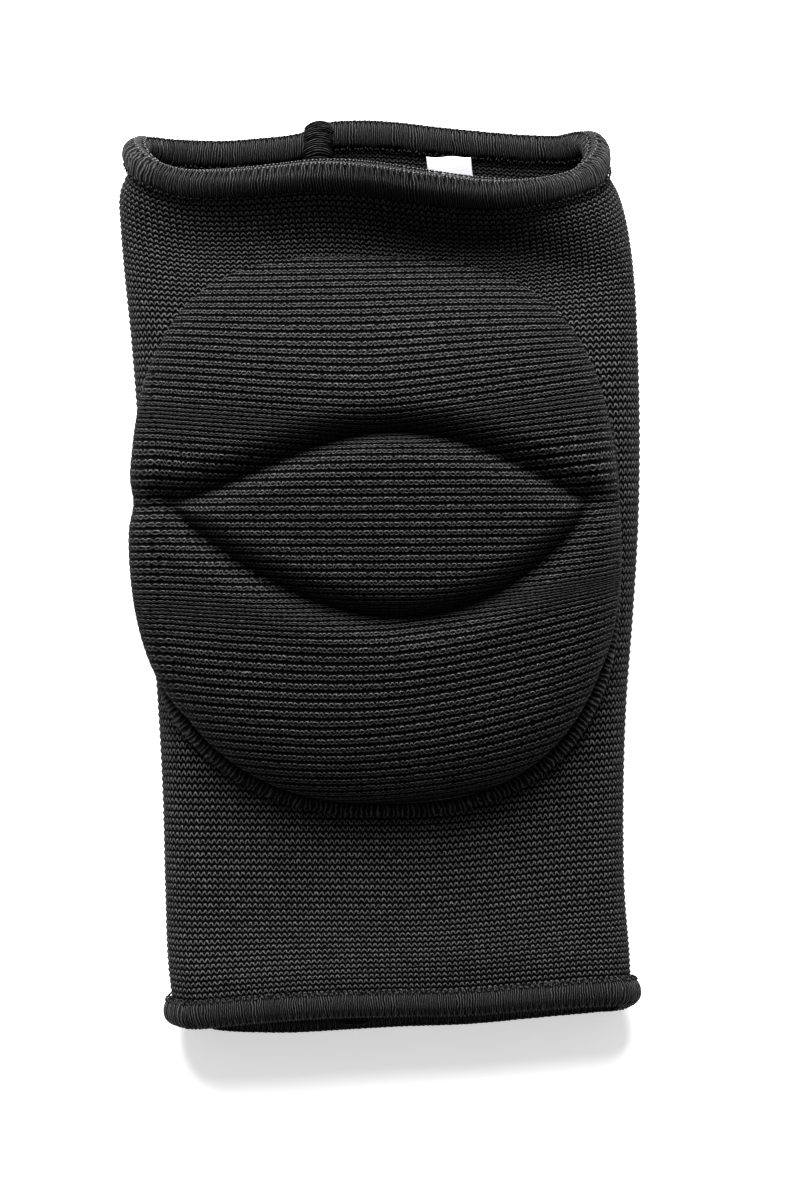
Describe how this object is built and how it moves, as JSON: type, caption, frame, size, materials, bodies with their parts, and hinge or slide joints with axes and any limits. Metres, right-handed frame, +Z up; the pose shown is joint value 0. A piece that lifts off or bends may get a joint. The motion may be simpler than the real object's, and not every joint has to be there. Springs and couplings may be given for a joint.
{
  "type": "knee pad",
  "caption": "Black knitted tube knee pad for volleyball, with a thick foam front under ribbed knit, an eye-shaped kneecap panel between two creases, and overcast bands at both ends.",
  "frame": {"origin": "bottom centre of the bounding box, on the surface that the back of the knee pad lies on", "axes": "+X across the leg, +Y from the calf end to the thigh end, +Z up, from the back of the knee to the front"},
  "size_m": [0.1364, 0.2406, 0.0519],
  "materials": {
    "sleeve_knit": "matt charcoal plain knit",
    "cushion_cover": "matt charcoal ribbed knit",
    "band_thread": "satin black overcast thread",
    "seam_thread": "matt black overlock thread",
    "tab_tape": "smooth white woven tape"
  },
  "bodies": {
    "root": {"sleeve": "sleeve_knit", "thigh_band": "band_thread", "calf_band": "band_thread", "knee_cushion": "cushion_cover", "cushion_edge_ridge": "seam_thread", "back_seam": "seam_thread", "inner_tab": "tab_tape"}
  },
  "joints": []
}
